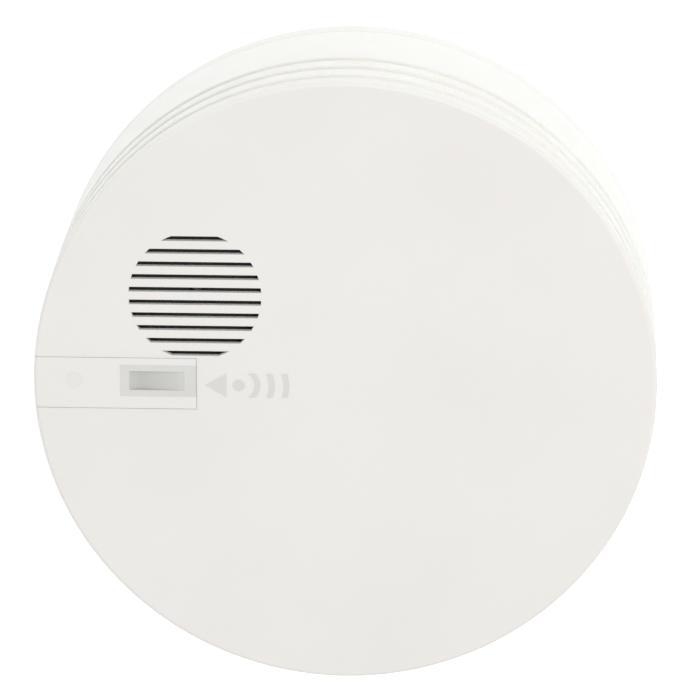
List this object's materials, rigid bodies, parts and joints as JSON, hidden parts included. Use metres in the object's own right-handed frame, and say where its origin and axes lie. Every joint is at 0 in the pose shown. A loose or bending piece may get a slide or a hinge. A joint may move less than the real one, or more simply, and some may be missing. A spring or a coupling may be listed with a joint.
{
  "type": "smoke detector",
  "caption": "Round ceiling smoke alarm with a slotted sounder grille, a press-to-test lever, side smoke gaps and a twist-off bayonet mounting base.",
  "frame": {"origin": "centre of the mounting base's back face, the face that goes against the ceiling or wall", "axes": "+Z out of the alarm's face, away from the ceiling; the test lever lies along -X"},
  "size_m": [0.12, 0.12, 0.0465],
  "materials": {
    "cover_white": "fine satin moulded plastic, slightly warm white",
    "housing_white": "fine satin moulded plastic, slightly warm white",
    "base_white": "fine textured moulded plastic, slightly warm white",
    "pad_grey": "soft satin light grey plastic",
    "legend_grey": "flat printed light grey",
    "light_guide": "milky clear plastic, polished end",
    "led_red": "clear red epoxy",
    "led_clear_blue": "smoke blue epoxy",
    "diode_black": "dark infrared filter epoxy",
    "board_green": "solder mask over glass fibre",
    "black_plastic": "matte black moulded plastic",
    "chip_black": "moulded epoxy",
    "capacitor_sleeve": "printed sleeve",
    "coil_copper": "enamelled copper wire",
    "resistor_body": "lacquer",
    "screen_metal": "perforated sheet",
    "piezo_brass": "thin rolled sheet",
    "piezo_ceramic": "silvered ceramic",
    "foam_black": "closed-cell foam",
    "lead_red": "insulated wire",
    "lead_black": "insulated wire",
    "battery_jacket": "printed steel jacket",
    "cell_metal": "bare cell cans",
    "plated_steel": "zinc or nickel plated"
  },
  "bodies": {
    "mount": {"mounting_base": "base_white"},
    "head": {"rear_housing": "housing_white", "vent_ring": "housing_white", "front_cover": "cover_white", "press_symbol": "legend_grey", "status_led": "led_red", "circuit_board": "board_green", "controller_chip": "chip_black", "capacitors": "capacitor_sleeve", "sounder_coil": "coil_copper", "resistors": "resistor_body", "chamber_base": "black_plastic", "chamber_cap": "black_plastic", "insect_screen": "screen_metal", "infrared_emitter": "led_clear_blue", "photodiode": "diode_black", "sounder_body": "black_plastic", "sounder_cap": "black_plastic", "piezo_disc": "piezo_brass", "piezo_ceramic": "piezo_ceramic", "sounder_gasket": "foam_black", "sounder_leads": "lead_red", "switch_body": "chip_black", "battery_jacket": "battery_jacket", "battery_cells": "cell_metal", "battery_end_plates": "black_plastic", "battery_terminals": "plated_steel", "battery_snap": "black_plastic", "battery_lead_red": "lead_red", "battery_lead_black": "lead_black", "board_screws": "plated_steel", "cover_screws": "plated_steel"},
    "test_key": {"test_lever": "cover_white", "lever_hinge_pin": "plated_steel", "test_pad": "pad_grey", "status_light_guide": "light_guide"},
    "plunger": {"switch_plunger": "chip_black"},
    "door": {"battery_door": "housing_white"}
  },
  "joints": [
    {"name": "head_twist", "type": "hinge", "parent": "mount", "child": "head", "pos_m": [0, 0, 0.004], "axis": [0, 0, 1], "range_deg": [0, 15]},
    {"name": "test_press", "type": "hinge", "parent": "head", "child": "test_key", "pos_m": [-0.0556, -0.0002, 0.0432], "axis": [0, 1, 0], "range_deg": [0, 1.8], "stiffness_Nm_per_rad": 1, "springref_deg": -0.57},
    {"name": "switch_travel", "type": "slide", "parent": "head", "child": "plunger", "axis": [0, 0, -1], "range_m": [0, 0.00045]},
    {"name": "battery_door_hinge", "type": "hinge", "parent": "head", "child": "door", "pos_m": [0, -0.0126, 0.0045], "axis": [-1, 0, 0], "range_deg": [0, 95]}
  ],
  "couplings": [
    {"joint": "switch_travel", "follows": "test_press", "m_per_rad": 0.0126}
  ]
}
